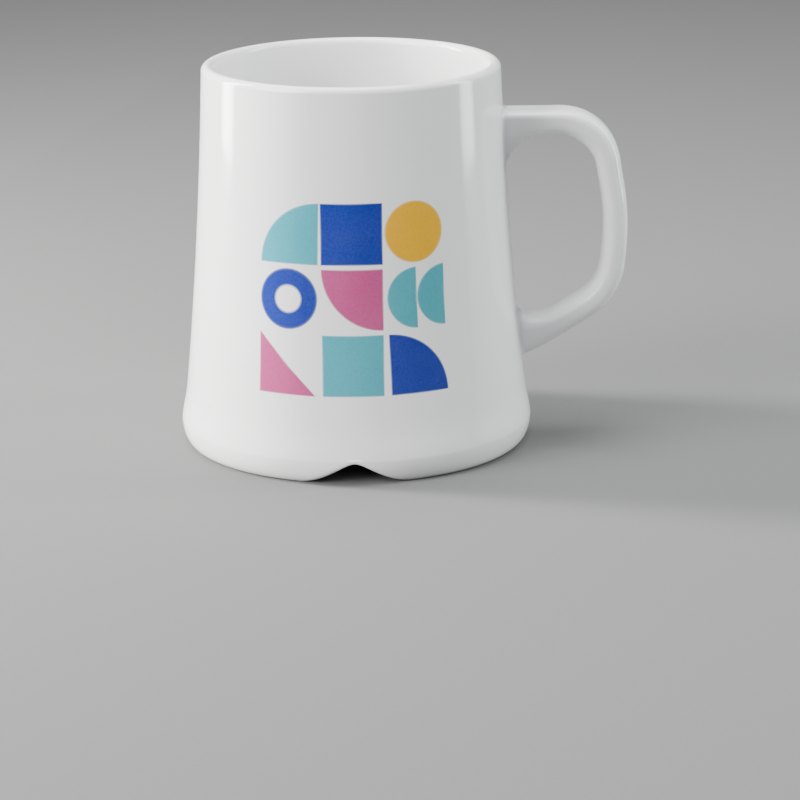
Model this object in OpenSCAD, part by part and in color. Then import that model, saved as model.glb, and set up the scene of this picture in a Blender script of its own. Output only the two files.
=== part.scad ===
// Ceramic mug: a slip-cast cup that flares to a rolled foot, and a loop handle
// stuck on with slip (liquid clay) at two roots.  A printed pattern in four inks
// is fired onto the front of the cup.
//
// Millimetres, +Z up.  The origin is on the cup's axis, in the plane of the foot
// ring that the mug stands on.  The handle points along +X, the pattern faces -Y.

/* [Cup] */
// Height from the table to the top of the lip
cup_h = 100; // [92:1:110]
// Outside radius at the mouth
mouth_r = 38.6; // [37:0.1:40]
// How far the wall spreads for each millimetre below the lip
wall_slope = 0.0375; // [0.03:0.0025:0.045]
// How fast that spread grows downwards
wall_flare = 0.0004; // [0.0003:0.00005:0.0005]
// Wall thickness at the lip, which is rounded over the whole of it
lip_t = 3.3; // [2.8:0.1:4]
// Wall thickness just above the floor
base_t = 4; // [3.5:0.1:5]
// Thickness of the floor
floor_t = 4; // [3.5:0.1:6]
// Radius of the corner between the floor and the inside of the wall
inner_corner_r = 11; // [6:1:14]

/* [Foot] */
// Height of the widest point of the rolled foot
roll_z = 6.2; // [5:0.2:7]
// How far the roll stands out from the line of the wall
roll_out = 0.62; // [0.2:0.02:1]
// Height over which the roll fades into the wall
roll_fade = 5; // [3:0.5:7]
// Outside radius of the ring that stands on the table
ring_r = 43.5; // [42.5:0.1:44.5]
// Flat width of that ring
ring_w = 3.2; // [2.4:0.1:4]
// Depth of the hollow under the floor
hollow_h = 6.4; // [6.2:0.1:7]
// Height of the drain notch in the front of the ring
notch_h = 5.6; // [4.4:0.1:6]
// Steepness of the notch's sides, in degrees
notch_angle = 34; // [28:1:38]

/* [Handle] */
// Height of the middle of the upper arm
upper_z = 83.8; // [80:0.1:86]
// Greatest distance of the middle of the grip from the cup's axis
grip_x = 68.9; // [66:0.1:74]
// Height at which the grip stands out furthest
grip_z = 57.5; // [54:0.5:60]
// Height of the corner between the grip and the lower arm
elbow_z = 39.1; // [36:0.1:42]
// Width of the handle, across the loop
handle_w = 12.4; // [10:0.2:15]
// Thickness of the upper arm
upper_t = 6.4; // [5.6:0.1:8]
// Extra thickness at the corner between the upper arm and the grip
corner_t = 1; // [0:0.1:1.6]
// Thickness of the grip
grip_t = 6.4; // [5.6:0.1:7.6]
// Thickness of the lower arm
lower_t = 7; // [6:0.1:8]
// Radius of the large hollow curve inside the loop at the upper root
upper_root_r = 11.5; // [8:0.5:13]
// Radius of the large hollow curve inside the loop at the lower root
lower_root_r = 9.5; // [6:0.5:11]
// Radius of the small hollow curves around the rest of each root
edge_r = 1.6; // [1.2:0.1:3]
// Thickness of the slip between the handle and the cup
slip_t = 1; // [0.6:0.1:1.4]

/* [Pattern] */
// Side of one tile
tile = 15.6; // [12:0.2:16]
// White gap between tiles
gap = 1; // [0.6:0.1:2]
// Height of the middle of the pattern
pattern_z = 47; // [40:1:55]
// Thickness of the fired ink
ink_t = 0.08; // [0.06:0.01:0.15]

/* [Hidden] */

$fn = 180;
glaze_white = "#e9ece8";
slip_white = "#dfe3df";
teal = "#7fb9bb";
blue = "#2453a8";
pink = "#c0739a";
yellow = "#ecb64a";

wall_steps = 24;              // cones along the outside of the wall
arc_steps = 8;                // cones along each rounded edge
lip_z = cup_h - lip_t / 2;    // where the lip's rounding starts
floor_z = hollow_h + floor_t; // top of the floor
hollow_lean = 2.4;            // how far the hollow narrows up to the floor
far = 60;                     // reach of a cutting shape, past the outside of the wall
ring_step = 2.2;              // spacing of the handle's cross-sections
section_n = 20;               // points round one cross-section
crown = 0.54;                 // share of the thickness on the outer side
buried_x = 34;                // where the handle's ends lie, inside the cup's wall
between_z = (upper_z + elbow_z) / 2; // between the two roots
pitch = tile + gap;

// ---- Profile of the cup ----

// Radius of the plain wall, without the roll, a height z above the table.
function plain_r(z) = mouth_r + wall_slope * (cup_h - z) + wall_flare * pow(cup_h - z, 2);

// Outside radius of the wall with the roll, which is a bell-shaped swelling.
function wall_r(z) = plain_r(z) + roll_out * exp(-pow((z - roll_z) / roll_fade, 2));

// Quarter of an ellipse under the roll, from the ring out to the widest point.
foot_curve = [for (i = [0 : arc_steps])
    let (a = 90 * i / arc_steps)
    [ring_r + (wall_r(roll_z) - ring_r) * sin(a), roll_z * (1 - cos(a))]];

// Outside of the wall, with its points closest together at the roll.
wall_curve = [for (i = [1 : wall_steps])
    let (z = roll_z + (lip_z - roll_z) * pow(i / wall_steps, 1.5))
    [wall_r(z), z]];

// Half circle over the lip, then straight down the inside.
lip_curve = [for (i = [1 : 2 * arc_steps])
    let (a = 90 * i / arc_steps)
    [wall_r(lip_z) - lip_t / 2 * (1 - cos(a)), lip_z + lip_t / 2 * sin(a)]];

// Inside radius: the wall grows from lip_t to base_t on its way down.
function inside_r(z) = plain_r(z) - lip_t - (base_t - lip_t) * (lip_z - z) / (lip_z - floor_z);

inner_start = floor_z + inner_corner_r;
inner_curve = [for (i = [arc_steps - 1 : -1 : 0])
    let (z = inner_start + (lip_z - inner_start) * i / arc_steps)
    [inside_r(z), z]];

// The inside corner pulls the wall in by a quarter circle down to the floor.
corner_curve = [for (i = [1 : arc_steps])
    let (a = 90 * i / arc_steps, z = inner_start - inner_corner_r * sin(a))
    [inside_r(z) - inner_corner_r * (1 - cos(a)), z]];

under_r = ring_r - ring_w;
hollow_curve = [[0, floor_z], [0, hollow_h],
    [under_r - 2 * hollow_lean, hollow_h],
    [under_r - hollow_lean, hollow_h - hollow_lean / 2],
    [under_r, 0]];

// ---- Centre line of the handle, in the XZ plane ----

// Corners [x, z, radius]; the ends are buried in the wall.
corners = [[buried_x, upper_z, 0],
           [grip_x - 4.6, upper_z, 13],
           [grip_x, grip_z, 65],
           [grip_x - 2.3, elbow_z, 15.5],
           [45, elbow_z - 13.4, 50],
           [buried_x, elbow_z - 16.2, 0]];

function xz(p) = [p[0], p[1]];
function unit(v) = v / norm(v);
function turned(v, a) = [v[0] * cos(a) - v[1] * sin(a), v[0] * sin(a) + v[1] * cos(a)];
function heading(v) = atan2(v[1], v[0]);
function bend_at(i) =
    let (u = unit(xz(corners[i]) - xz(corners[i - 1])), v = unit(xz(corners[i + 1]) - xz(corners[i])))
    asin(u[0] * v[1] - u[1] * v[0]);
function tangent_at(i) = corners[i][2] * tan(abs(bend_at(i)) / 2);

// Straight stretch into corner i, then the arc round it, as [x, z, heading].
function stretch(i) =
    let (a = xz(corners[i - 1]), b = xz(corners[i]), u = unit(b - a),
         start = a + u * tangent_before(i), end = b - u * tangent_after(i),
         n = max(1, ceil(norm(end - start) / ring_step)))
    [for (k = [0 : n - 1]) concat(start + (end - start) * k / n, heading(u))];
function tangent_before(i) = i == 1 ? 0 : tangent_at(i - 1);
function tangent_after(i) = i == len(corners) - 1 ? 0 : tangent_at(i);
function arc(i) =
    let (u = unit(xz(corners[i]) - xz(corners[i - 1])), bend = bend_at(i), r = corners[i][2],
         start = xz(corners[i]) - u * tangent_at(i), side = turned(u, 90) * sign(bend),
         n = max(3, ceil(r * abs(bend) * PI / 180 / ring_step)))
    [for (k = [0 : n - 1])
        let (a = bend * k / n)
        concat(start + side * r - turned(side, a) * r, heading(u) + a)];

last = len(corners) - 1;
centre_line = concat(
    [for (i = [1 : last - 1]) each concat(stretch(i), arc(i))],
    stretch(last),
    [concat(xz(corners[last]), heading(xz(corners[last]) - xz(corners[last - 1])))]);

stations = len(centre_line);
// Share of the stations that lie before the middle of the first arc.
corner_share = (len(stretch(1)) + len(arc(1)) / 2) / (stations - 1);

// ---- Cross-section of the handle ----

// Rise of a hollow curve of radius r, a distance d away from the wall.
function hollow(d, r) = let (e = min(max(d, 0), r)) r - sqrt(r * r - pow(r - e, 2));

// Thickness eases from the upper arm to the grip, and from the grip to the lower arm.
function eased(t) = let (u = min(max(t, 0), 1)) u * u * (3 - 2 * u);
function thickness(t) = grip_t + (upper_t - grip_t) * (1 - eased((t - 0.22) / 0.25))
                               + (lower_t - grip_t) * eased((t - 0.55) / 0.25)
                               + corner_t * exp(-pow((t - corner_share) / 0.06, 2));

// A rounded oblong: p is how square its corners are.
function power(v, p) = sign(v) * pow(abs(v), 2 / p);
function section_point(a, half_w, out_t, in_t) =
    sin(a) >= 0 ? [half_w * power(cos(a), 2.9), out_t * power(sin(a), 2.9)]
                : [half_w * power(cos(a), 2.5), in_t * power(sin(a), 2.5)];

// How far outside the wall the point lies that is a distance q from station p, along n.
function gap_at(p, n, q) = p[0] + n[0] * q - wall_r(p[1] + n[1] * q);

// One cross-section of the handle, as points in space, at station p = [x, z, heading].
function ring(p, t) =
    let (n = turned([cos(p[2]), sin(p[2])], 90), root_r = t < 0.5 ? upper_root_r : lower_root_r,
         out_t = crown * thickness(t), in_t = (1 - crown) * thickness(t),
         half_w = handle_w / 2 + hollow(gap_at(p, n, 0), edge_r),
         out_wide = out_t + hollow(gap_at(p, n, out_t), edge_r),
         in_wide = in_t + hollow(gap_at(p, n, -in_t), root_r))
    [for (k = [0 : section_n - 1])
        let (q = section_point(360 * k / section_n, half_w, out_wide, in_wide))
        [p[0] + n[0] * q[1], q[0], p[1] + n[1] * q[1]]];

loop_points = [for (i = [0 : stations - 1]) each ring(centre_line[i], i / (stations - 1))];
loop_sides = [for (i = [0 : stations - 2], k = [0 : section_n - 1])
    let (a = i * section_n + k, b = i * section_n + (k + 1) % section_n)
    each [[a, b, b + section_n], [a, b + section_n, a + section_n]]];
loop_ends = [[for (k = [section_n - 1 : -1 : 0]) k],
             [for (k = [0 : section_n - 1]) (stations - 1) * section_n + k]];

// ---- Shared shapes ----

// The cup's outside above its rolled foot, made larger by grow, as a solid block.
module wall_block(grow) {
    outline = [for (p = wall_curve) if (p[1] > 2 * roll_z) [p[0] + grow, p[1]]];
    bottom = outline[0][1];
    top = outline[len(outline) - 1][1];
    rotate_extrude() polygon(concat([[0, bottom]], outline, [[0, top]]));
}

// The whole loop, with both ends buried in the wall.
module loop() {
    polyhedron(loop_points, concat(loop_sides, loop_ends), convexity = 6);
}

// The slip at one root fills the space between the handle and the wall.
module slip_joint(z_from, z_to) {
    intersection() {
        loop();
        difference() {
            wall_block(slip_t);
            wall_block(0);
        }
        translate([0, -far / 2, z_from]) cube([far, far, z_to - z_from]);
    }
}

// ---- Tiles of the pattern, drawn about the middle of the tile ----

module square_tile() {
    square(tile, center = true);
}

module disc_tile() {
    circle(d = tile);
}

module ring_tile() {
    difference() {
        circle(d = tile);
        circle(d = tile * 0.42);
    }
}

// Two half discs, one above the other, their flat sides down at angle 0.
module scallop_tile(angle) {
    rotate(angle) for (low = [-tile / 2, 0]) translate([0, low]) intersection() {
        circle(d = tile);
        translate([-tile / 2, 0]) square([tile, tile / 2]);
    }
}

// Quarter of a disc centred on one corner of the tile; at 0 it is the lower left one.
module quarter_tile(angle) {
    rotate(angle) intersection() {
        square(tile, center = true);
        translate([-tile / 2, -tile / 2]) circle(r = tile);
    }
}

// Half of a square, cut corner to corner; at 0 it is the lower left half.
module triangle_tile(angle) {
    rotate(angle) polygon([[-tile / 2, -tile / 2], [tile / 2, -tile / 2], [-tile / 2, tile / 2]]);
}

// Lays a flat tile on the wall, in the given column and row, as a layer of ink.
module printed(column, row) {
    turn = column * pitch / wall_r(pattern_z) * 180 / PI;
    intersection() {
        difference() {
            wall_block(ink_t);
            wall_block(0);
        }
        rotate([90, 0, turn]) translate([0, pattern_z + row * pitch, 0])
            linear_extrude(far) children();
    }
}

// ---- Sub-parts ----

module cup() {
    color(glaze_white) difference() {
        rotate_extrude() polygon(concat(foot_curve, wall_curve, lip_curve, inner_curve,
                                        corner_curve, hollow_curve));
        drain_notch();
    }
}

// The notch's roof is a hyperbola: a small round crown between two straight slopes.
module drain_notch() {
    slope = tan(notch_angle);
    round = 1.2;
    half = sqrt(pow(notch_h + round, 2) - round * round) / slope;
    roof = [for (i = [-arc_steps : arc_steps])
        let (x = half * i / arc_steps)
        [x, notch_h + round - sqrt(pow(slope * x, 2) + round * round)]];
    rotate([90, 0, 0]) translate([0, 0, far / 2]) linear_extrude(far / 2)
        polygon(concat([[-half, -notch_h]], roof, [[half, -notch_h]]));
}

module handle() {
    color(glaze_white) difference() {
        loop();
        wall_block(slip_t);
    }
}

module slip_joint_upper() {
    color(slip_white) slip_joint(between_z, cup_h);
}

module slip_joint_lower() {
    color(slip_white) slip_joint(0, between_z);
}

module ink_teal() {
    color(teal) {
        printed(-1, 1) quarter_tile(90);
        printed(1, 0) scallop_tile(90);
        printed(0, -1) square_tile();
    }
}

module ink_blue() {
    color(blue) {
        printed(0, 1) square_tile();
        printed(-1, 0) ring_tile();
        printed(1, -1) quarter_tile(0);
    }
}

module ink_pink() {
    color(pink) {
        printed(0, 0) quarter_tile(180);
        printed(-1, -1) triangle_tile(0);
    }
}

module ink_yellow() {
    color(yellow) {
        printed(1, 1) disc_tile();
    }
}

cup();
handle();
slip_joint_upper();
slip_joint_lower();
ink_teal();
ink_blue();
ink_pink();
ink_yellow();
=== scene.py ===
# %% [markdown]
# # A glazed ceramic mug
#
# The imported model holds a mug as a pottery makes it: a slip-cast cup, a loop handle stuck
# on with slip (liquid clay) at two roots, and a pattern printed in four inks.  This script
# dresses it.  A pot is what surfaces of two parameters describe best, because the cup is
# one outline turned about an axis and the handle is one cross-section carried along a
# curve.  So each piece is worked out with numpy as whole arrays of points, and only then
# put into a mesh.

import bpy
import numpy as np
from mathutils import Matrix, Vector


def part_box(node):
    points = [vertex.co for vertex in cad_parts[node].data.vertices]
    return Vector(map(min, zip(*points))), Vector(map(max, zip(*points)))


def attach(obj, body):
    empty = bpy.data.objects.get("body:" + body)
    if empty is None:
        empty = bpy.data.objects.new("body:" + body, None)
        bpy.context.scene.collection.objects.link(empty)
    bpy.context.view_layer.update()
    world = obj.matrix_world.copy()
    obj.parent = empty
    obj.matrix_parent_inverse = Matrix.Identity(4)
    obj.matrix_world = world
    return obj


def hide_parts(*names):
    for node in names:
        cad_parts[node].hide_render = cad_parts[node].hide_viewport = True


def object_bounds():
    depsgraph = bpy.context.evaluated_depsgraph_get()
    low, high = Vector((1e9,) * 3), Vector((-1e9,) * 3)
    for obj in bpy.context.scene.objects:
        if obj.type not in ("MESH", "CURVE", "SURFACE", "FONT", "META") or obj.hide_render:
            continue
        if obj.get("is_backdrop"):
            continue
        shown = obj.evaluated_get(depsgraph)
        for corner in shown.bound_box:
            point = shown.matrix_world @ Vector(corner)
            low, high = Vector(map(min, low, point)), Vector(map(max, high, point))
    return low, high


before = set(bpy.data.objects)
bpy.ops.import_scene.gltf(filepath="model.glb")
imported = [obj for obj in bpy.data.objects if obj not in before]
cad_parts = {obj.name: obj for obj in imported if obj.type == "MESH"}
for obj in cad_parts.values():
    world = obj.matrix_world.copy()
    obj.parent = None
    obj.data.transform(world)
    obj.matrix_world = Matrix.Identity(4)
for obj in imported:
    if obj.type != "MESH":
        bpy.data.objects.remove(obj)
cad_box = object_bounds()
MM = 0.001
CUP_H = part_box("cup")[1].z
GRIP_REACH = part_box("handle")[1].x
print("cup height and reach of the handle, mm:", round(CUP_H / MM, 2), round(GRIP_REACH / MM, 2))

# %% [markdown]
# ## The line of the wall
#
# Everything on this mug touches the outside of the cup, so its radius is one function that
# the cup, the slip, the handle and the inks all share.  Below the lip the wall spreads
# slowly, then faster, which is a parabola.  The rolled foot is a bell-shaped swelling
# added to it.

# %% Radius of the wall
MOUTH_R = 38.6 * MM
WALL_SLOPE = 0.0375
WALL_FLARE = 0.4  # per metre
ROLL_Z = 6.2 * MM
ROLL_OUT = 0.62 * MM
ROLL_FADE = 5.0 * MM


def plain_radius(z):
    """Mouth radius, plus slope times depth below the lip, plus flare times depth squared."""
    depth = CUP_H - z
    return MOUTH_R + WALL_SLOPE * depth + WALL_FLARE * depth**2


def wall_radius(z):
    """The plain radius plus the roll: its height times e to the minus squared distance."""
    return plain_radius(z) + ROLL_OUT * np.exp(-(((z - ROLL_Z) / ROLL_FADE) ** 2))


print("radius at the mouth and at the roll, mm:", wall_radius(np.array([CUP_H, ROLL_Z])) / MM)

# %% [markdown]
# ## From arrays to meshes
#
# A closed piece can be thought of as a stack of rings, like the lines of latitude on a
# globe: the first and the last ring shrink to a pole, and neighbouring rings are joined by
# four-sided faces.  A ring-shaped piece has no poles, and its last ring is joined to its
# first.  Blender could spin or loft such shapes with its own tools, but with the rings in
# one array, every point's place stays a formula that other pieces can use.

# %% A mesh from a stack of rings


def ring_faces(rings, points, around):
    """Joins point k of ring i to point k + 1, and to the same two on the next ring."""
    i, k = np.meshgrid(np.arange(rings if around else rings - 1), np.arange(points), indexing="ij")
    here, there = i * points, (i + 1) % rings * points
    after = (k + 1) % points
    return np.stack([here + k, here + after, there + after, there + k], axis=-1).reshape(-1, 4)


def pole_faces(pole, first, points, flip):
    """A fan of triangles from a pole to the ring that starts at vertex number first."""
    k = np.arange(points)
    fan = np.stack([np.full(points, pole), first + (k + 1) % points, first + k], axis=-1)
    return fan[:, ::-1] if flip else fan


def signed_volume(points, triangles):
    """A sixth of the sum of a · (b × c): positive where the faces point outwards."""
    a, b, c = (points[triangles[:, n]] for n in range(3))
    return np.einsum("ij,ij->", a, np.cross(b, c)) / 6


def ring_piece(name, rings, closed_round=False, masks=None, sharp_rings=()):
    """Makes a smooth-shaded mesh from an array of rings, shaped (rings, points, 3)."""
    n, m = rings.shape[:2]
    points = rings.reshape(-1, 3)
    quads = ring_faces(n, m, closed_round)
    triangles = np.empty((0, 3), int)
    if not closed_round:
        poles = [rings[0].mean(0), rings[-1].mean(0)]
        triangles = np.vstack(
            [pole_faces(n * m, 0, m, False), pole_faces(n * m + 1, (n - 1) * m, m, True)]
        )
        points = np.vstack([points, poles])
    halves = np.vstack([quads[:, [0, 1, 2]], quads[:, [0, 2, 3]], triangles])
    if signed_volume(points, halves) < 0:
        quads, triangles = quads[:, ::-1], triangles[:, ::-1]
    mesh = bpy.data.meshes.new(name)
    mesh.from_pydata(points.tolist(), [], quads.tolist() + triangles.tolist())
    mesh.shade_smooth()
    for mask, values in (masks or {}).items():
        whole = np.zeros(len(points), np.float32)
        whole[: n * m] = np.broadcast_to(values, (n, m)).ravel()
        mesh.attributes.new(mask, "FLOAT", "POINT").data.foreach_set("value", whole)
    if len(sharp_rings):
        mark_sharp(mesh, m, sharp_rings)
    piece = bpy.data.objects.new(name, mesh)
    bpy.context.scene.collection.objects.link(piece)
    print(f"{name}: {len(points)} points, {len(halves)} triangles")
    return piece


def mark_sharp(mesh, points, sharp_rings):
    """Marks the edges that run along the given rings as sharp, so that shading stops there."""
    ends = np.empty(len(mesh.edges) * 2, np.int32)
    mesh.edges.foreach_get("vertices", ends)
    ring = ends.reshape(-1, 2) // points
    sharp = (ring[:, 0] == ring[:, 1]) & np.isin(ring[:, 0], sharp_rings)
    mesh.attributes.new("sharp_edge", "BOOLEAN", "EDGE").data.foreach_set("value", sharp)


# %% [markdown]
# ## Outlines with rounded corners
#
# A maker draws an outline as straight lines, then gives each corner a radius.  The function
# below does the same: between corners it walks in straight lines, and at a corner it
# follows the circle that touches both of them.

# %% Rounded outlines


def steps(start, end, n):
    """n numbers from start up to, but not including, end."""
    return np.linspace(start, end, n, endpoint=False)


def eased(t):
    """3t² - 2t³ between 0 and 1: a change that starts and ends gently."""
    t = np.clip(t, 0, 1)
    return t * t * (3 - 2 * t)


def rounded_path(corners, step):
    """Points every step along straight lines whose corners [x, z, radius] are rounded.

    The circle of radius r touches both lines a distance r tan(turn / 2) from the corner.
    """
    at, radius = np.array(corners)[:, :2], np.array(corners)[:, 2]
    along = np.diff(at, axis=0)
    along /= np.linalg.norm(along, axis=1)[:, None]
    path, here = [], at[0]
    for i in range(1, len(at) - 1):
        u, v = along[i - 1], along[i]
        turn = np.arctan2(u[0] * v[1] - u[1] * v[0], u @ v)
        start = at[i] - u * radius[i] * np.tan(abs(turn) / 2)
        n = max(2, int(np.linalg.norm(start - here) / step))
        path.append(here + (start - here) * steps(0, 1, n)[:, None])
        a = steps(0, turn, max(4, int(radius[i] * abs(turn) / step)))[:, None]
        side = np.array([-u[1], u[0]]) * np.sign(turn)
        path.append(start + radius[i] * (side * (1 - np.cos(a)) + u * np.sin(abs(a))))
        here = at[i] + v * radius[i] * np.tan(abs(turn) / 2)
    n = max(2, int(np.linalg.norm(at[-1] - here) / step))
    path.append(here + (at[-1] - here) * np.linspace(0, 1, n + 1)[:, None])
    return np.vstack(path)


# %% [markdown]
# ## The outline of the cup
#
# The outline starts in the middle of the underside, goes round the hollow and the foot
# ring, up the outside, over the lip, and down the inside to the middle of the floor.  Its
# points lie closer together where it bends more, because light on a glaze shows every
# facet there.

# %% The cup's outline
LIP_T = 3.3 * MM
BASE_T = 4.0 * MM
FLOOR_T = 4.0 * MM
INNER_CORNER_R = 11 * MM
RING_R = 43.5 * MM
RING_W = 3.2 * MM
HOLLOW_H = 6.4 * MM
LIP_Z = CUP_H - LIP_T / 2
FLOOR_Z = HOLLOW_H + FLOOR_T


def inside_radius(z):
    """The plain radius less the wall, which grows from LIP_T at the lip to BASE_T below."""
    down = (LIP_Z - z) / (LIP_Z - FLOOR_Z)
    return plain_radius(z) - LIP_T - (BASE_T - LIP_T) * down


def cup_outline():
    """The outline as an array of [radius, height], from the underside to the floor."""
    hollow = [
        [1 * MM, HOLLOW_H, 0],
        [RING_R - 7 * MM, HOLLOW_H, 4 * MM],
        [RING_R - RING_W, 0, 0.7 * MM],
        [RING_R, 0, 0],
    ]
    under = rounded_path(hollow, 0.35 * MM)
    a = steps(0, np.pi / 2, 34)
    foot_out = wall_radius(ROLL_Z) - RING_R
    foot = np.stack([RING_R + foot_out * np.sin(a), ROLL_Z * (1 - np.cos(a))], -1)[1:]
    z = ROLL_Z + (LIP_Z - ROLL_Z) * steps(0, 1, 62) ** 1.4
    wall = np.stack([wall_radius(z), z], -1)
    a = steps(0, np.pi, 30)
    lip_r = wall_radius(LIP_Z) - LIP_T / 2
    lip = np.stack([lip_r + LIP_T / 2 * np.cos(a), LIP_Z + LIP_T / 2 * np.sin(a)], -1)
    z = steps(LIP_Z, FLOOR_Z + INNER_CORNER_R, 34)
    inside = np.stack([inside_radius(z), z], -1)
    a = steps(0, np.pi / 2, 20)
    z = FLOOR_Z + INNER_CORNER_R * (1 - np.sin(a))
    corner = np.stack([inside_radius(z) - INNER_CORNER_R * (1 - np.cos(a)), z], -1)
    floor_r = np.linspace(inside_radius(FLOOR_Z) - INNER_CORNER_R, 1 * MM, 14)
    floor = np.stack([floor_r, np.full(14, FLOOR_Z)], -1)
    return np.vstack([under, foot, wall, lip, inside, corner, floor])


outline = cup_outline()
print("points in the cup's outline:", len(outline))

# %% [markdown]
# ## The cup
#
# The outline is turned about the axis.  Its copies stand closer together at the front,
# where a notch through the foot ring lets water drain from the hollow in a dishwasher.
# The notch could be cut with a Boolean modifier, but that leaves a knife-sharp edge, and
# the glaze on a real notch rounds it.  Seen from below, the foot is a height that depends
# on x and y, and so is the roof of the notch.  The greater of the two, blended where they
# are nearly equal, is a notch with soft edges.

# %% The cup's surface
NOTCH_H = 5.6 * MM
NOTCH_SLOPE = np.tan(np.radians(34))
NOTCH_ROUND = 1.2 * MM
NOTCH_BLEND = 2.8 * MM
CUP_POINTS = 300  # copies of the outline round the axis
FRONT = -np.pi / 2


def turned_angles(n):
    """n angles round the axis, three and a half times as dense at the front as elsewhere."""
    a = np.linspace(0, 2 * np.pi, 3601) + FRONT + np.pi
    density = 1 + 2.5 * np.exp(-(((a - FRONT - 2 * np.pi) / 0.28) ** 2))
    share = np.concatenate([[0], np.cumsum((density[1:] + density[:-1]) / 2)])
    return np.interp(steps(0, share[-1], n), share, a)


def notch_roof(x):
    """A hyperbola: a small round crown between two straight slopes."""
    return NOTCH_H + NOTCH_ROUND - np.sqrt((NOTCH_SLOPE * x) ** 2 + NOTCH_ROUND**2)


def soft_max(a, b, width):
    """The greater of a and b, raised by up to width / 4 where they differ by less than width."""
    near = np.clip(1 - abs(a - b) / width, 0, 1)
    return np.maximum(a, b) + near**2 * width / 4


def cup_rings(outline, angles):
    """Turns the outline, then lifts the low front of it to the roof of the notch."""
    r, z = outline[:, 0, None], outline[:, 1, None]
    x, y = r * np.cos(angles), r * np.sin(angles)
    lifted = soft_max(z + 0 * x, notch_roof(x), NOTCH_BLEND)
    outside = np.arange(len(outline))[:, None] < np.argmax(outline[:, 1])
    in_notch = outside & (y < 0) & (z < HOLLOW_H)
    return np.stack([x, y, np.where(in_notch, lifted, z)], -1)


rings = cup_rings(outline, turned_angles(CUP_POINTS))
height, radius = rings[..., 2], np.hypot(rings[..., 0], rings[..., 1])
on_ring = (radius > RING_R - RING_W - 0.5 * MM) & (radius < RING_R + 1.6 * MM)
bare = np.where(on_ring, 1 - eased((height - 0.12 * MM) / (0.3 * MM)), 0)
crest = wall_radius(LIP_Z) - LIP_T / 2
lip_distance = np.hypot(radius - crest, height - CUP_H)
thin = np.exp(-((lip_distance / (1.1 * MM)) ** 2))
thin = np.maximum(thin, np.exp(-(((height - 0.8 * MM) / (0.6 * MM)) ** 2)) * on_ring)
cup = ring_piece("cup_body", rings, masks={"bare_clay": bare, "thin_glaze": thin})
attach(cup, "root")
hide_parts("cup")

# %% [markdown]
# ## The cross-section of the handle
#
# The handle was cast in its own mould.  Its outer side is thicker and a little squarer,
# and its inner side is rounder, so that it lies well on the fingers.  A superellipse has
# this shape: |u|ᵖ + |v|ᵖ = 1 is a circle at p = 2, and it grows squarer as p grows.  The
# outer half has a larger p than the inner half, and one larger still near the upper root,
# where the mould left the outer edges crisper.

# %% The handle's cross-section
SECTION_POINTS = 96
OUTER_POWER = 2.9
ROOT_POWER = 5.0
INNER_POWER = 2.5


def section(angle, outer_power):
    """u across the handle and v towards its outside, from -1 to 1, for each angle."""
    c, s = np.cos(angle), np.sin(angle)
    power = np.where(s >= 0, outer_power, INNER_POWER)
    size = (abs(c) ** power + abs(s) ** power) ** (-1 / power)
    return c * size, s * size


def even_angles(n):
    """n angles whose points lie evenly spaced round the section, twice as wide as thick."""
    a = np.linspace(0, 2 * np.pi, 4001)
    u, v = section(a, OUTER_POWER)
    length = np.concatenate([[0], np.cumsum(np.hypot(np.diff(u * 2), np.diff(v)))])
    return np.interp(steps(0, length[-1], n), length, a)


section_angles = even_angles(SECTION_POINTS)

# %% [markdown]
# ## The loop of the handle
#
# The middle of the handle follows a rounded path with four corners: out along the upper
# arm, down the grip, which bows outwards a little, and back along the slanting lower arm.
# Both ends are buried in the wall.  A section is placed across the path at any share of
# its length, with the thickness eased from arm to grip to arm.

# %% The loop as a tube
HANDLE_W = 12.4 * MM
UPPER_T = 6.4 * MM
CORNER_T = 1.0 * MM
GRIP_T = 6.4 * MM
LOWER_T = 7.0 * MM
CROWN = 0.54
UPPER_Z = 83.8 * MM
GRIP_X = 68.9 * MM
GRIP_Z = 57.5 * MM
ELBOW_Z = 39.1 * MM
UPPER_ROOT_R = 11.5 * MM
LOWER_ROOT_R = 9.5 * MM

loop_corners = [
    [34 * MM, UPPER_Z, 0],
    [GRIP_X - 4.6 * MM, UPPER_Z, 13 * MM],
    [GRIP_X, GRIP_Z, 65 * MM],
    [GRIP_X - 2.3 * MM, ELBOW_Z, 15.5 * MM],
    [45 * MM, ELBOW_Z - 13.4 * MM, 50 * MM],
    [34 * MM, ELBOW_Z - 16.2 * MM, 0],
]
loop_path = rounded_path(loop_corners, 0.2 * MM)
loop_length = np.concatenate([[0], np.cumsum(np.linalg.norm(np.diff(loop_path, axis=0), axis=1))])
loop_share = loop_length / loop_length[-1]
slope = np.gradient(loop_path, loop_share, axis=0)
loop_heading = np.unwrap(np.arctan2(slope[:, 1], slope[:, 0]))
from_corner = np.linalg.norm(loop_path - np.array(loop_corners[1][:2]), axis=1)
CORNER_SHARE = loop_share[np.argmin(from_corner)]
print("length of the handle's path, mm:", round(loop_length[-1] / MM, 1))


def hollow(gap, r):
    """Rise of a quarter-circle hollow of radius r, where a point is gap away from the wall."""
    e = np.clip(gap, 0, r)
    return r - np.sqrt(r * r - (r - e) ** 2)


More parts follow.
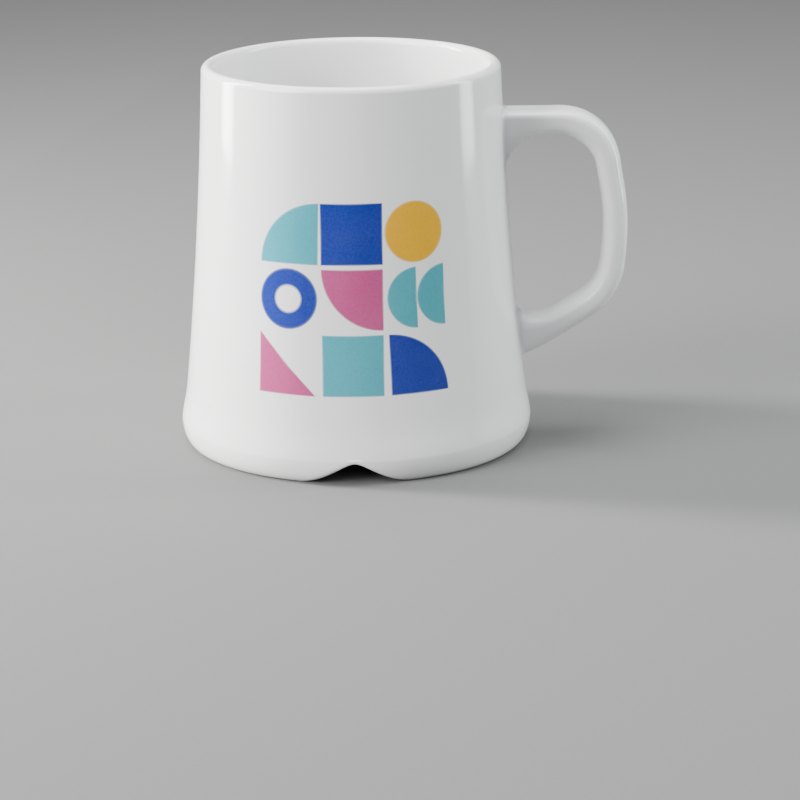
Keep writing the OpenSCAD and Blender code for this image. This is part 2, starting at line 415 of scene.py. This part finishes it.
def tube(share):
    """Points of the loop at an array of shares, shaped (n, section points, 3).

    Inside the loop the thickness grows by the hollow towards each root, and the sides stay
    flat, because only the thickness grows and not the width.
    """
    x, z = (np.interp(share, loop_share, loop_path[:, n]) for n in range(2))
    heading = np.interp(share, loop_share, loop_heading)
    nx, nz = -np.sin(heading), np.cos(heading)
    thickness = GRIP_T + (UPPER_T - GRIP_T) * (1 - eased((share - 0.22) / 0.25))
    thickness += (LOWER_T - GRIP_T) * eased((share - 0.55) / 0.25)
    thickness += CORNER_T * np.exp(-(((share - CORNER_SHARE) / 0.06) ** 2))
    outer, inner = CROWN * thickness, (1 - CROWN) * thickness
    gap = x - nx * inner - wall_radius(z - nz * inner)
    inner += hollow(gap, np.where(share < 0.5, UPPER_ROOT_R, LOWER_ROOT_R))
    power = OUTER_POWER + (ROOT_POWER - OUTER_POWER) * (1 - eased((share - 0.1) / 0.22))
    u, v = section(section_angles, power)
    out = v * np.where(v > 0, outer, inner)
    return np.stack([x + nx * out, u * HANDLE_W / 2, z + nz * out], -1)


# %% [markdown]
# ## The roots
#
# All round a root, a narrow fillet of slip joins the handle to the wall.  Subdividing a
# joined mesh gives such a curve too, but neither its radius nor its edge on the wall can
# be set.  Here each line along the tube stops a distance f from the wall.  Carried straight
# on, it would meet the wall at a corner, and the fillet's foot lies f outside that corner.
# A cubic curve goes from the line's end to the foot, with both handles 0.55 of the way to
# the corner, which is nearly a quarter circle where the corner is square.

# %% From the tube to the wall
EDGE_R = 1.5 * MM
ARC_HANDLE = 0.5523


def gap_to_wall(points):
    """How far points stand outside the wall, measured level from the axis."""
    return np.hypot(points[..., 0], points[..., 1]) - wall_radius(points[..., 2])


def on_wall(points, lift):
    """The same points moved level, towards or away from the axis, to lift above the wall."""
    level = np.hypot(points[..., 0], points[..., 1])
    scale = (wall_radius(points[..., 2]) + lift) / level
    return points * np.stack([scale, scale, np.ones_like(scale)], -1)


def first_crossing(values, levels, shares):
    """Down each column, the share at which rising values first pass that column's level."""
    i = np.clip(np.argmax(values > levels, axis=0), 1, None)
    k = np.arange(values.shape[1])
    low, high = values[i - 1, k], values[i, k]
    t = np.clip((levels - low) / (high - low), 0, 1)
    return shares[i - 1] + t * (shares[i] - shares[i - 1])


def last_crossing(values, levels, shares):
    """Down each column, the share at which rising values last pass that column's level."""
    return first_crossing(-values[::-1], -levels, shares[::-1])


def units(vectors):
    """Vectors made 1 long."""
    return vectors / np.linalg.norm(vectors, axis=-1)[..., None]


def across_wall(ring, corner):
    """The direction out of the ring at each point, flattened into the wall's surface."""
    slope_z = (wall_radius(corner[:, 2] + MM) - wall_radius(corner[:, 2] - MM)) / (2 * MM)
    level = np.hypot(corner[:, 0], corner[:, 1])
    normal = units(np.stack([corner[:, 0], corner[:, 1], -slope_z * level], -1))
    along_ring = np.roll(ring, -1, axis=0) - np.roll(ring, 1, axis=0)
    out = units(np.cross(along_ring, normal))
    return out * np.sign(np.sum(out * (ring - ring.mean(0))))


def root(from_end, rows):
    """The fillet lines of one root, from the wall (row 0) to the tube, and their shares."""
    shares = np.linspace(0, 0.45, 1500)
    shares = 1 - shares if from_end else shares
    gap = gap_to_wall(tube(np.repeat(shares[:, None], SECTION_POINTS, 1)))
    leaves = last_crossing(gap, np.full(SECTION_POINTS, EDGE_R), shares)
    start = tube(leaves[None])[0]
    nudge = 2e-4 * (-1 if from_end else 1)
    behind = tube((leaves - nudge)[None])[0]
    along = units(start - behind)
    steepness = (gap_to_wall(start) - gap_to_wall(behind)) / np.linalg.norm(start - behind, axis=1)
    to_corner = EDGE_R / np.clip(steepness, 0.3, None)
    corner = on_wall(start - along * to_corner[:, None], 0)
    foot = on_wall(corner + across_wall(start, corner) * EDGE_R, -0.01 * MM)
    bend_a, bend_b = start + (corner - start) * ARC_HANDLE, foot + (corner - foot) * ARC_HANDLE
    t = np.linspace(0, 1, rows)[:, None, None]
    lines = (1 - t) ** 3 * foot + 3 * t * (1 - t) ** 2 * bend_b
    lines += 3 * t**2 * (1 - t) * bend_a + t**3 * start
    return lines, leaves


# %% [markdown]
# ## Where the slip ends and the handle begins
#
# The slip is the part of each root that lies within a millimetre of the wall.  Each fillet
# line is cut there, the piece on the wall's side goes to the slip joint and the rest to
# the handle.  They share the points of the cut, so the two meet without a gap.  The cut
# faces are hidden inside, and close both pieces.

# %% Slip joints and handle
SLIP_T = 1.0 * MM


def resample(lines, start, end, rows):
    """Rows spaced evenly, down each line, between two row numbers that may be fractions."""
    at = start + (end - start) * np.linspace(0, 1, rows)[:, None]
    low = np.clip(np.floor(at).astype(int), 0, len(lines) - 2)
    k = np.arange(lines.shape[1])
    return lines[low, k] + (at - low)[..., None] * (lines[low + 1, k] - lines[low, k])


def hidden_face(ring, lift):
    """Rings that shrink from ring to its middle, curved like the wall and lift above it."""
    size = np.array([0.72, 0.42, 0.12])[:, None, None]
    return on_wall(ring.mean(0) + (ring - ring.mean(0)) * size, lift)


def cut_root(lines):
    """Splits the fillet lines where they stand SLIP_T above the wall."""
    number = np.arange(len(lines), dtype=float)
    cut = first_crossing(gap_to_wall(lines), np.full(lines.shape[1], SLIP_T), number)
    return resample(lines, 0 * cut, cut, 10), resample(lines, cut, 0 * cut + len(lines) - 1, 22)


def slip_piece(name, rings):
    """The slip joint: a face on the wall, the skin of the fillet, and a face at the handle."""
    wall_face, handle_face = hidden_face(rings[0], -0.01 * MM), hidden_face(rings[-1], SLIP_T)
    whole = np.vstack([wall_face[::-1], rings, handle_face])
    edges = [len(wall_face), len(wall_face) + len(rings) - 1]
    # Painted shade, with a little pooled glaze: the whole slip joint is marked to be painted
    # darker.
    pooled_and_shaded = np.full(whole.shape[:2], 1.0)
    piece = ring_piece(name + "_fillet", whole, masks={"pooled_glaze_and_painted_shade": pooled_and_shaded}, sharp_rings=edges)
    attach(piece, "root")
    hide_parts(name)
    return piece


upper_lines, upper_share = root(False, 400)
lower_lines, lower_share = root(True, 400)
upper_slip, upper_arm = cut_root(upper_lines)
lower_slip, lower_arm = cut_root(lower_lines)
between = np.linspace(0, 1, 190)[1:-1, None]
grip = tube(upper_share + (lower_share - upper_share) * between)
caps = hidden_face(upper_arm[0], SLIP_T)[::-1], hidden_face(lower_arm[0], SLIP_T)
loop_rings = np.vstack([caps[0], upper_arm, grip, lower_arm[::-1], caps[1]])
# Painted shade, with a little pooled glaze: the handle is painted darker the nearer it comes to
# the wall.
pooled_and_shaded = np.exp(-np.clip(gap_to_wall(loop_rings), 0, None) / (2 * MM))
edges = [len(caps[0]), len(loop_rings) - 1 - len(caps[1])]
handle = ring_piece("handle_loop", loop_rings, masks={"pooled_glaze_and_painted_shade": pooled_and_shaded}, sharp_rings=edges)
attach(handle, "root")
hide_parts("handle")
slips = [slip_piece("slip_joint_upper", upper_slip), slip_piece("slip_joint_lower", lower_slip)]

# %% [markdown]
# ## The printed tiles
#
# The pattern is a transfer: a film of ink printed flat, floated on to the glaze and fired.
# A tile's outline is a closed curve in its own flat square.  The film is filled with rings
# that shrink from the outline to the middle, and the whole is then wrapped round the wall.
# At its edge the ink thins to nothing, as fired ink does.

# %% Outlines of the tiles
TILE = 15.6 * MM
GAP = 1.0 * MM
PATTERN_Z = 47.0 * MM
INK_T = 0.018 * MM
INK_SUNK = 0.03 * MM  # how far the film's hidden back lies inside the wall
INK_EDGE = 0.06  # share of the way from the middle over which the ink thins to nothing
INK_FADE = 0.35 * MM  # distance from the edge over which the colour fades
OUTLINE_POINTS = 192


def even_outline(corners):
    """Spreads points evenly along a closed polygon, keeping close to its corners."""
    ring = np.vstack([corners, corners[:1]])
    length = np.concatenate([[0], np.cumsum(np.linalg.norm(np.diff(ring, axis=0), axis=1))])
    at = steps(0, length[-1], OUTLINE_POINTS)
    return np.stack([np.interp(at, length, ring[:, n]) for n in range(2)], -1)


def arc(centre, radius, start, end):
    """An arc of a circle between two angles in degrees, as 60 points."""
    a = np.radians(np.linspace(start, end, 60))
    return np.array(centre) + radius * np.stack([np.cos(a), np.sin(a)], -1)


def turned(points, quarter_turns):
    """Points turned about the tile's middle by so many quarters of a turn."""
    for _ in range(quarter_turns):
        points = points[:, ::-1] * [-1, 1]
    return points


half = TILE / 2
square = np.array([[-1, -1], [1, -1], [1, 1], [-1, 1]]) * half
disc = arc([0, 0], half, 0, 354)
hole = arc([0, 0], half * 0.42, 0, 354)
quarter = np.vstack([arc([-half, -half], TILE, 0, 90), [[-half, -half]]])
triangle = np.array([[-half, -half], [half, -half], [-half, half]])
scallops = [arc([0, low], half, 0, 180) for low in (-half, 0)]

# %% [markdown]
# ## From a flat tile to a film on the wall
#
# The transfer bends with the wall but doesn't stretch, so a tile first turns to its column
# round the cup, and each of its points then goes to the height and the radius of the wall
# at its own place.  The film's two sides and its edge are one closed stack of rings.

# %% The film of ink


def wrapped(flat, lift, column, row):
    """Flat points [x, height] of a tile on the wall, at the given lift above it."""
    z = PATTERN_Z + row * (TILE + GAP) + flat[..., 1]
    r = wall_radius(z)
    turn = FRONT + column * (TILE + GAP) / wall_radius(PATTERN_Z) + np.arcsin(flat[..., 0] / r)
    return np.stack([(r + lift) * np.cos(turn), (r + lift) * np.sin(turn), z], -1)


# Where the film's rings lie, as shares of the way from the middle to the outline.
TOP_SHARES = np.array([0, 0.12, 0.24, 0.36, 0.48, 0.6, 0.72, 0.84, 0.94, 0.97, 1])
BACK_SHARES = np.array([0.995, 0.5, 0.005])


def ink_film(outer, inner, ring_shaped):
    """Rings from inner to outer on top and back below, their lift and distance to an edge."""
    lift = INK_T * np.minimum((1 - TOP_SHARES) / INK_EDGE, 1)
    if ring_shaped:
        lift = np.minimum(lift, INK_T * TOP_SHARES / (2 * INK_EDGE))
    share = np.concatenate([TOP_SHARES, BACK_SHARES])[:, None, None]
    lift = np.concatenate([lift, np.full(len(BACK_SHARES), -INK_SUNK)])[:, None]
    flat = inner + (outer - inner) * share
    to_edge = np.linalg.norm(outer - flat, axis=-1)
    if ring_shaped:
        to_edge = np.minimum(to_edge, np.linalg.norm(flat - inner, axis=-1))
    return flat, lift, to_edge


def tile_piece(ink, shape, column, row, outer, inner=None):
    """One tile of one ink, wrapped on to the wall in its column and row."""
    outer = even_outline(outer)
    middle = np.tile(outer.mean(0), (OUTLINE_POINTS, 1))
    ring_shaped = inner is not None
    inner = even_outline(inner) if ring_shaped else middle + (outer - middle) * 0.004
    flat, lift, to_edge = ink_film(outer, inner, ring_shaped)
    name = f"tile_{ink}_{shape}"
    rings = wrapped(flat, lift, column, row)
    masks = {"thick_ink": eased(to_edge / INK_FADE)}
    edges = [0, len(TOP_SHARES) - 1] if ring_shaped else [len(TOP_SHARES) - 1]
    piece = ring_piece(name, rings, closed_round=ring_shaped, masks=masks, sharp_rings=edges)
    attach(piece, "root")
    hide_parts("ink_" + ink)
    return piece


tiles = {
    "teal": [
        tile_piece("teal", "quarter", -1, 1, turned(quarter, 1)),
        tile_piece("teal", "square", 0, -1, square),
        tile_piece("teal", "scallop_near", 1, 0, turned(scallops[0], 1)),
        tile_piece("teal", "scallop_far", 1, 0, turned(scallops[1], 1)),
    ],
    "blue": [
        tile_piece("blue", "square", 0, 1, square),
        tile_piece("blue", "ring", -1, 0, disc, hole),
        tile_piece("blue", "quarter", 1, -1, quarter),
    ],
    "pink": [
        tile_piece("pink", "quarter", 0, 0, turned(quarter, 2)),
        tile_piece("pink", "triangle", -1, -1, triangle),
    ],
    "yellow": [tile_piece("yellow", "disc", 1, 1, disc)],
}

# %% [markdown]
# ## Building node groups
#
# Glaze lies over the cup, the handle, the slip and the inks alike, and its slow waves must
# run on unbroken from one to the next.  So the waves, the tint and the specks are node
# groups, built once and placed in every material that needs them.  They read Object
# coordinates: every piece's object sits at the origin, so the pattern is the same in all.

# %% Helpers for nodes


def new_group(name, inputs, outputs):
    """An empty node group with named sockets, and its input and output sockets."""
    tree = bpy.data.node_groups.new(name, "ShaderNodeTree")
    for label, kind, value in inputs:
        tree.interface.new_socket(label, in_out="INPUT", socket_type=kind).default_value = value
    for label, kind in outputs:
        tree.interface.new_socket(label, in_out="OUTPUT", socket_type=kind)
    ends = tree.nodes.new("NodeGroupInput").outputs, tree.nodes.new("NodeGroupOutput").inputs
    return tree, *ends


def add(tree, kind, inputs, **settings):
    """Adds a node; an input given as a socket is linked, and any other value is set."""
    made = tree.nodes.new(kind)
    for key, value in settings.items():
        setattr(made, key, value)
    for key, value in inputs.items():
        if isinstance(value, bpy.types.NodeSocket):
            tree.links.new(value, made.inputs[key])
        else:
            made.inputs[key].default_value = value
    return made


def maths(tree, operation, a, b):
    """One Math node's result."""
    return add(tree, "ShaderNodeMath", {0: a, 1: b}, operation=operation).outputs[0]


def mixed(tree, factor, a, b):
    """The colour that lies factor of the way from a to b."""
    node = add(tree, "ShaderNodeMix", {"Factor": factor}, data_type="RGBA")
    for socket, value in ((node.inputs[6], a), (node.inputs[7], b)):
        if isinstance(value, bpy.types.NodeSocket):
            tree.links.new(value, socket)
        else:
            socket.default_value = value
    return node.outputs[2]


def noise(tree, scale, detail=2.0, roughness=0.5):
    """Noise from 0 to 1 in Object coordinates, with scale in waves per metre."""
    at = tree.nodes.new("ShaderNodeTexCoord").outputs["Object"]
    inputs = {"Vector": at, "Scale": scale, "Detail": detail, "Roughness": roughness}
    return add(tree, "ShaderNodeTexNoise", inputs).outputs["Fac"]


def ranged(tree, value, low, high, out_low=0.0, out_high=1.0):
    """value taken from the range low to high to the range out_low to out_high, clamped."""
    inputs = {0: value, 1: low, 2: high, 3: out_low, 4: out_high}
    return add(tree, "ShaderNodeMapRange", inputs).outputs[0]


# %% [markdown]
# ## The surface of the glaze
#
# Molten glaze flows until it is almost flat.  What stays is a slow swell about 15 mm long
# and a few hundredths of a millimetre high, which bends a reflection a little, and a
# finer orange peel.  Heights are in metres, so a Bump node with a Distance of 1 shows them
# at their real size.

# %% Group: glaze_waves
waves, waves_in, waves_out = new_group(
    "glaze_waves",
    [("Swell", "NodeSocketFloat", 0.03 * MM), ("Peel", "NodeSocketFloat", 0.0012 * MM)],
    [("Height", "NodeSocketFloat"), ("Cloud", "NodeSocketFloat")],
)
swell = maths(waves, "MULTIPLY", noise(waves, 60, 1), waves_in["Swell"])
peel = maths(waves, "MULTIPLY", noise(waves, 520, 1), waves_in["Peel"])
waves.links.new(maths(waves, "ADD", swell, peel), waves_out["Height"])
waves.links.new(noise(waves, 190, 3), waves_out["Cloud"])

# %% [markdown]
# ## Specks and tint
#
# Clay and glaze are never perfectly clean: a grain of iron here and there fires to a brown
# speck a few tenths of a millimetre wide.  A Voronoi texture gives each cell of space one
# random point, and only the few points that happen to lie at the surface show.  The white
# itself also drifts slightly between cool and warm, where the glaze is thicker or thinner.

# %% Groups: iron_specks and fired_tint
specks, specks_in, specks_out = new_group(
    "iron_specks",
    [("Cells", "NodeSocketFloat", 95.0), ("Size", "NodeSocketFloat", 0.018)],
    [("Mask", "NodeSocketFloat")],
)
where = specks.nodes.new("ShaderNodeTexCoord").outputs["Object"]
cells = add(specks, "ShaderNodeTexVoronoi", {"Vector": where, "Scale": specks_in["Cells"]})
near = maths(specks, "DIVIDE", cells.outputs["Distance"], specks_in["Size"])
specks.links.new(ranged(specks, near, 0.6, 1.1, 1.0, 0.0), specks_out["Mask"])

tint, tint_in, tint_out = new_group(
    "fired_tint",
    [("Cool", "NodeSocketColor", (0, 0, 0, 1)), ("Warm", "NodeSocketColor", (0, 0, 0, 1))],
    [("Color", "NodeSocketColor")],
)
drift = maths(tint, "MULTIPLY", noise(tint, 22, 2), 0.75)
drift = maths(tint, "ADD", drift, maths(tint, "MULTIPLY", noise(tint, 260, 3), 0.25))
drift = ranged(tint, drift, 0.3, 0.7)
tint.links.new(mixed(tint, drift, tint_in["Cool"], tint_in["Warm"]), tint_out["Color"])

# %% [markdown]
# ## The white glaze and the bare clay
#
# One material covers the cup, the handle and the slip.  Three masks were stored on the
# points when the surfaces were made.  Where the glaze drew thin, over the lip and just
# above the foot ring, the warmer clay shows through it.  In the roots' hollow curves and
# over the slip, the white is painted cooler and darker.  A little of that is glaze that
# pooled there, and most of it is painted shade for the light that the cup keeps from them.
# The ring was wiped clean before firing, because glaze would stick it to the kiln's shelf,
# so there the clay is bare, rough and a little grey from use.

# %% Material: white_glaze
GLAZE_COOL = (0.800, 0.815, 0.811, 1)
GLAZE_WARM = (0.836, 0.833, 0.822, 1)
CLAY = (0.72, 0.665, 0.585, 1)
CLAY_WORN = (0.42, 0.40, 0.37, 1)
GLAZE_IOR = 1.53


def new_material(name):
    """A material with only a Principled BSDF, wired to its output."""
    material = bpy.data.materials.new(name)
    material.use_nodes = True
    tree = material.node_tree
    shader = tree.nodes["Principled BSDF"]
    shader.inputs["IOR"].default_value = GLAZE_IOR
    return material, tree, shader


def group(tree, made):
    """Places a node group in a material."""
    node = tree.nodes.new("ShaderNodeGroup")
    node.node_tree = made
    return node


def mask(tree, name, strength=1.0):
    """A mask stored on the points, times strength."""
    value = add(tree, "ShaderNodeAttribute", {}, attribute_name=name).outputs["Fac"]
    return maths(tree, "MULTIPLY", value, strength)


def white_glaze():
    """White glaze over pale clay, bare on the foot ring."""
    material, tree, shader = new_material("white_glaze")
    white = group(tree, tint)
    white.inputs["Cool"].default_value = GLAZE_COOL
    white.inputs["Warm"].default_value = GLAZE_WARM
    colour = mixed(tree, mask(tree, "thin_glaze", 0.30), white.outputs[0], (0.86, 0.84, 0.79, 1))
    # Painted shade: the roots and the slip are darkened towards a cool grey, a little for pooled
    # glaze and mostly for the shade there.
    colour = mixed(tree, mask(tree, "pooled_glaze_and_painted_shade", 0.60), colour, (0.62, 0.67, 0.68, 1))
    speck = group(tree, specks).outputs[0]
    colour = mixed(tree, maths(tree, "MULTIPLY", speck, 0.8), colour, (0.16, 0.10, 0.06, 1))
    bare_clay = mask(tree, "bare_clay")
    worn = ranged(tree, noise(tree, 330, 5, 0.65), 0.48, 0.7, 0.0, 0.7)
    clay = mixed(tree, worn, CLAY, CLAY_WORN)
    tree.links.new(mixed(tree, bare_clay, colour, clay), shader.inputs["Base Color"])
    wave = group(tree, waves)
    gloss = ranged(tree, wave.outputs["Cloud"], 0.3, 0.7, 0.075, 0.115)
    rough = maths(tree, "ADD", gloss, maths(tree, "MULTIPLY", bare_clay, 0.72))
    tree.links.new(rough, shader.inputs["Roughness"])
    grain = maths(tree, "MULTIPLY", noise(tree, 2600, 3, 0.7), 0.05 * MM)
    grain = maths(tree, "MULTIPLY", grain, bare_clay)
    height = maths(tree, "ADD", wave.outputs["Height"], grain)
    bump = add(tree, "ShaderNodeBump", {"Height": height, "Distance": 1.0})
    tree.links.new(bump.outputs[0], shader.inputs["Normal"])
    return material


glaze_material = white_glaze()
for piece in [cup, handle, *slips]:
    piece.data.materials.append(glaze_material)

# %% [markdown]
# ## The inks
#
# A fired ink is coloured glass.  It was pressed through a fine mesh, so its depth of
# colour is mottled at about a quarter of a millimetre, drifts a little across a tile, and
# fades in the last few tenths of a millimetre before the edge.  One function makes the
# four inks, which differ only in colour.

# %% Group: screened_ink, and the ink materials
screened, screened_in, screened_out = new_group(
    "screened_ink",
    [("Ink", "NodeSocketColor", (0, 0, 0, 1)), ("Thick", "NodeSocketFloat", 1.0)],
    [("Color", "NodeSocketColor")],
)
deep = mixed(screened, 0.08, screened_in["Ink"], (0, 0, 0, 1))
pale = mixed(screened, 0.02, screened_in["Ink"], GLAZE_COOL)
mottle = maths(screened, "MULTIPLY", noise(screened, 1900, 2, 0.6), 0.55)
mottle = maths(screened, "ADD", mottle, maths(screened, "MULTIPLY", noise(screened, 75, 2), 0.45))
body = mixed(screened, ranged(screened, mottle, 0.36, 0.64), deep, pale)
faded = ranged(screened, screened_in["Thick"], 0.0, 1.0, 0.55, 0.0)
screened.links.new(mixed(screened, faded, body, GLAZE_COOL), screened_out["Color"])

INKS = {
    "teal": (0.048, 0.330, 0.400, 1),
    "blue": (0.001, 0.022, 0.265, 1),
    "pink": (0.44, 0.058, 0.195, 1),
    "yellow": (0.76, 0.39, 0.001, 1),
}


def ink_material(name, colour):
    """A fired ink of the given colour, under the same glaze waves as the rest."""
    material, tree, shader = new_material(name + "_ink")
    ink = group(tree, screened)
    ink.inputs["Ink"].default_value = colour
    tree.links.new(mask(tree, "thick_ink"), ink.inputs["Thick"])
    tree.links.new(ink.outputs[0], shader.inputs["Base Color"])
    wave = group(tree, waves)
    gloss = ranged(tree, wave.outputs["Cloud"], 0.3, 0.7, 0.085, 0.135)
    tree.links.new(gloss, shader.inputs["Roughness"])
    bump = add(tree, "ShaderNodeBump", {"Height": wave.outputs["Height"], "Distance": 1.0})
    tree.links.new(bump.outputs[0], shader.inputs["Normal"])
    return material


for name, colour in INKS.items():
    material = ink_material(name, colour)
    for piece in tiles[name]:
        piece.data.materials.append(material)
print("materials:", sorted(m.name for m in bpy.data.materials if m.users))

# %% [markdown]
# ## The studio
#
# The mug stands on plain grey paper, which this much light makes pale.  It curves up into
# a wall all round, like a very wide bowl, so that the background is plain from every side.
# The bowl is a profile turned about the axis: flat, then a quarter circle, then straight
# up.

# %% The paper bowl
PAPER_DARK = (0.140, 0.141, 0.140, 1)
PAPER_LIGHT = (0.160, 0.160, 0.159, 1)
PAPER_FLAT_R = 1.7
PAPER_CURVE_R = 0.7
PAPER_WALL_H = 1.2


def paper_rings():
    """The bowl's inside from the middle to the top, then back down 1 cm outside of it."""
    r = np.linspace(0.02, PAPER_FLAT_R, 20, endpoint=False)
    a = np.linspace(0, np.pi / 2, 24)
    bend_r, bend_z = PAPER_FLAT_R + PAPER_CURVE_R * np.sin(a), PAPER_CURVE_R * (1 - np.cos(a))
    inside_r = np.concatenate([r, bend_r, [bend_r[-1]]])
    inside_z = np.concatenate([0 * r, bend_z, [bend_z[-1] + PAPER_WALL_H]])
    lean = np.minimum(inside_r / bend_r[-1], 1) * 0.01
    r = np.concatenate([inside_r, (inside_r + lean)[::-1]])[:, None]
    z = np.concatenate([inside_z, (inside_z - 0.01)[::-1]])[:, None]
    a = steps(0, 2 * np.pi, 144)
    return np.stack([r * np.cos(a), r * np.sin(a), z + 0 * a], -1)


paper = ring_piece("paper_bowl", paper_rings())
paper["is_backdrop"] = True

# %% [markdown]
# Paper is matte, and never quite even: a faint fibre grain keeps it from looking like a
# plain colour.

# %% Material: studio_paper
paper_material, tree, shader = new_material("studio_paper")
fibre = noise(tree, 900, 4, 0.7)
tone = mixed(tree, fibre, PAPER_DARK, PAPER_LIGHT)
tree.links.new(tone, shader.inputs["Base Color"])
shader.inputs["Roughness"].default_value = 0.85
shader.inputs["Specular IOR Level"].default_value = 0.2
paper.data.materials.append(paper_material)

# %% [markdown]
# ## Light
#
# A glaze shows its shape by what it mirrors, so two tall narrow soft boxes stand on the
# floor to the left and right of the mug.  Their reflections run down the wall and stop
# where the wall begins to mirror the floor.  A large soft light from the front left shapes
# the white: the cup shades the handle's roots from it, and the grip stands clear of that
# shade.  One overhead fills the mouth, and a weak one in front lifts the shadows.  A real
# soft box is brightest in its middle, so each one here is a core with half of the power
# within a wider halo with the rest, and its reflection has a soft edge.

# %% Lights
CORE = 0.6  # width of the core as a share of the halo's


def soft_box(name, at, aim, width, height, power, colour=(1, 1, 1)):
    """A core and a halo at a place, turned to face another, with their heights upright."""
    for part, size in (("core", CORE), ("halo", 1.0)):
        light = bpy.data.lights.new(f"{name}_{part}", "AREA")
        light.shape = "RECTANGLE"
        light.size, light.size_y = width * size, height
        light.energy, light.color = power / 2, colour
        box = bpy.data.objects.new(light.name, light)
        box.rotation_euler = (Vector(aim) - Vector(at)).to_track_quat("-Z", "Y").to_euler()
        box.location = at
        bpy.context.scene.collection.objects.link(box)


soft_box("strip_left", (-0.50, 0.12, 0.31), (0, 0, 0.31), 0.13, 0.60, 16.0, (1, 0.99, 0.97))
soft_box("strip_right", (0.52, 0.045, 0.31), (0, 0, 0.31), 0.14, 0.60, 4.2, (0.88, 1, 0.93))
soft_box("key_left", (-0.95, -0.62, 0.62), (0, 0, 0.05), 0.8, 0.8, 36.0, (1, 0.985, 0.975))
soft_box("overhead", (0.05, 0.1, 1.2), (0, 0, 0.05), 0.9, 0.7, 19.0)
soft_box("fill_front", (0.30, -1.20, 0.70), (0, 0, 0.05), 0.7, 0.6, 3.0, (0.93, 0.88, 1))
world = bpy.data.worlds.new("studio")
world.use_nodes = True
world.node_tree.nodes["Background"].inputs["Color"].default_value = (0.90, 0.885, 1.0, 1)
world.node_tree.nodes["Background"].inputs["Strength"].default_value = 0.6
bpy.context.scene.world = world

# %% [markdown]
# ## Camera
#
# The camera looks down on the mug from three quarters of a metre in front, through a long
# lens.  Its three axes are worked out from the direction that it looks in, and then rolled
# a little, which is simpler than finding three angles.

# %% The camera
CAMERA_AT = Vector((0.0116, -0.7661, 0.2344))
CAMERA_LOOKS = Vector((0, 0.9592, -0.2824)).normalized()
CAMERA_ROLL = np.radians(0.70)

lens = bpy.data.cameras.new("camera")
lens.lens = 135
lens.sensor_width = 36
lens.clip_start, lens.clip_end = 0.05, 20
lens.dof.use_dof = False
camera = bpy.data.objects.new("camera", lens)
turn = CAMERA_LOOKS.to_track_quat("-Z", "Y").to_matrix().to_4x4()
roll = Matrix.Rotation(CAMERA_ROLL, 4, CAMERA_LOOKS)
camera.matrix_world = Matrix.Translation(CAMERA_AT) @ roll @ turn
bpy.context.scene.collection.objects.link(camera)
bpy.context.scene.camera = camera

# %% [markdown]
# ## Sizes
#
# The dressed mug must be as large as the imported model, so both boxes are printed.

# %% Print the two sizes
visual_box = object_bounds()
sizes = {"cad": [list(c) for c in cad_box], "visual": [list(c) for c in visual_box]}
for name, (low, high) in sizes.items():
    print(name, "box, mm:", [round((b - a) / MM, 2) for a, b in zip(low, high)])
